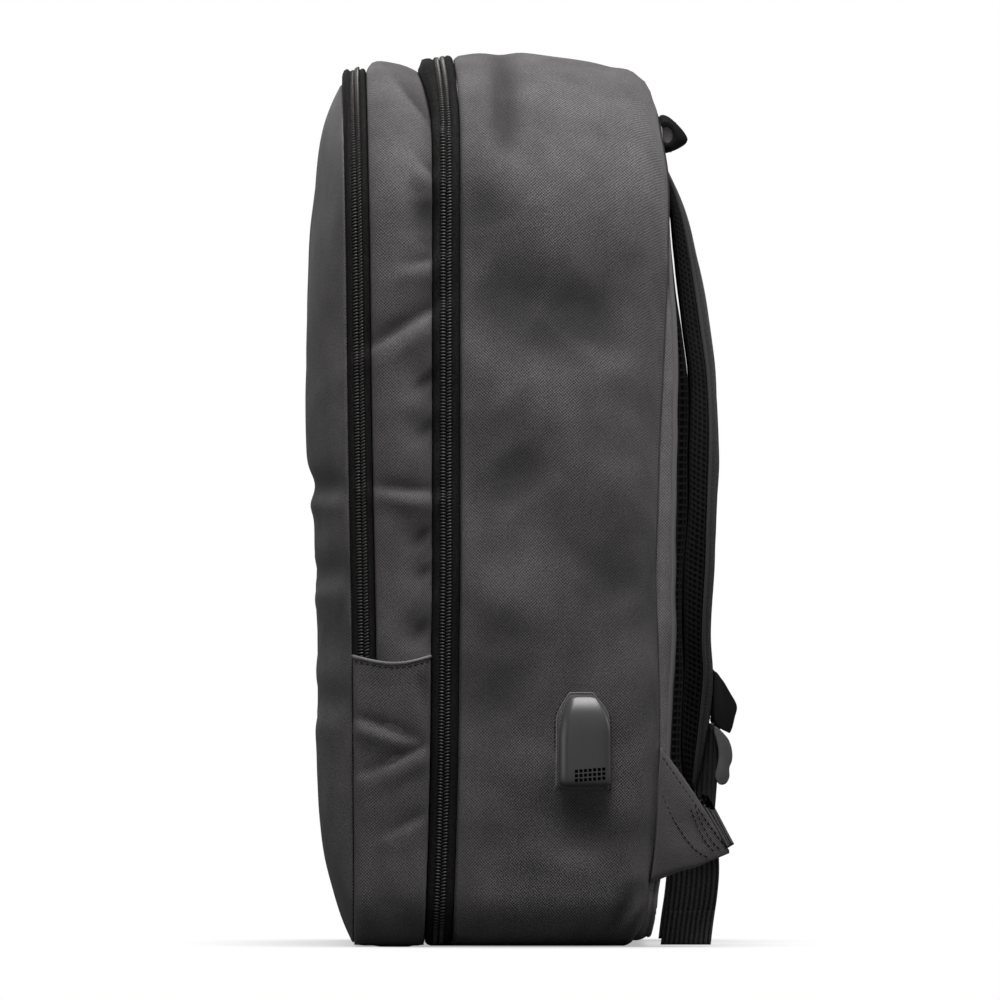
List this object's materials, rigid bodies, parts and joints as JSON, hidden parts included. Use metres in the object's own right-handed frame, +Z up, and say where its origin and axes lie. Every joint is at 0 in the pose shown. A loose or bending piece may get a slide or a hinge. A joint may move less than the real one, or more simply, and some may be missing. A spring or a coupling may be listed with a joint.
{
  "type": "laptop backpack",
  "caption": "Upright padded laptop backpack with zipped compartments, shoulder straps, a grab handle and a port cover on its side.",
  "frame": {"origin": "middle of the bag's box, on the floor it stands on", "axes": "+Z up, -Y towards the front panel, +Y towards the back panel and the straps, +X towards the side with the port cover"},
  "size_m": [0.309, 0.2184, 0.4529],
  "materials": {
    "body_cloth": "dark grey woven polyester, coated on its back, over thin foam",
    "front_cloth": "dark grey woven polyester",
    "pocket_cloth": "dark grey woven polyester with a bound hem",
    "wing_cloth": "dark grey woven polyester, stitched",
    "patch_cloth": "dark grey woven polyester patch, stitched",
    "air_mesh": "black knitted spacer mesh",
    "strap_mesh": "black knitted spacer mesh under dark grey cloth",
    "handle_cloth": "black padded cloth",
    "tab_cloth": "black folded cloth",
    "webbing": "black ribbed polypropylene webbing",
    "zip": "black zip tape with a nylon coil",
    "slider_metal": "black painted zinc",
    "lock_plastic": "dark grey moulded acetal",
    "cover_plastic": "dark grey moulded plastic, satin"
  },
  "bodies": {
    "root": {"main_shell": "body_cloth", "back_panel": "air_mesh", "middle_gusset": "body_cloth", "front_panel": "front_cloth", "main_zip": "zip", "front_zip": "zip", "main_zip_slider": "slider_metal", "front_zip_slider": "slider_metal", "usb_surround": "patch_cloth", "usb_cover": "cover_plastic", "top_handle": "handle_cloth", "side_pocket_right": "pocket_cloth", "side_pocket_left": "pocket_cloth", "strap_right": "strap_mesh", "strap_left": "strap_mesh", "strap_tab_right": "tab_cloth", "strap_tab_left": "tab_cloth", "ladder_lock_right": "lock_plastic", "ladder_lock_left": "lock_plastic", "lower_webbing_right": "webbing", "lower_webbing_left": "webbing", "webbing_stub_right": "webbing", "webbing_stub_left": "webbing", "wing_right": "wing_cloth", "wing_left": "wing_cloth", "webbing_tail_right": "webbing", "webbing_tail_left": "webbing"}
  },
  "joints": []
}
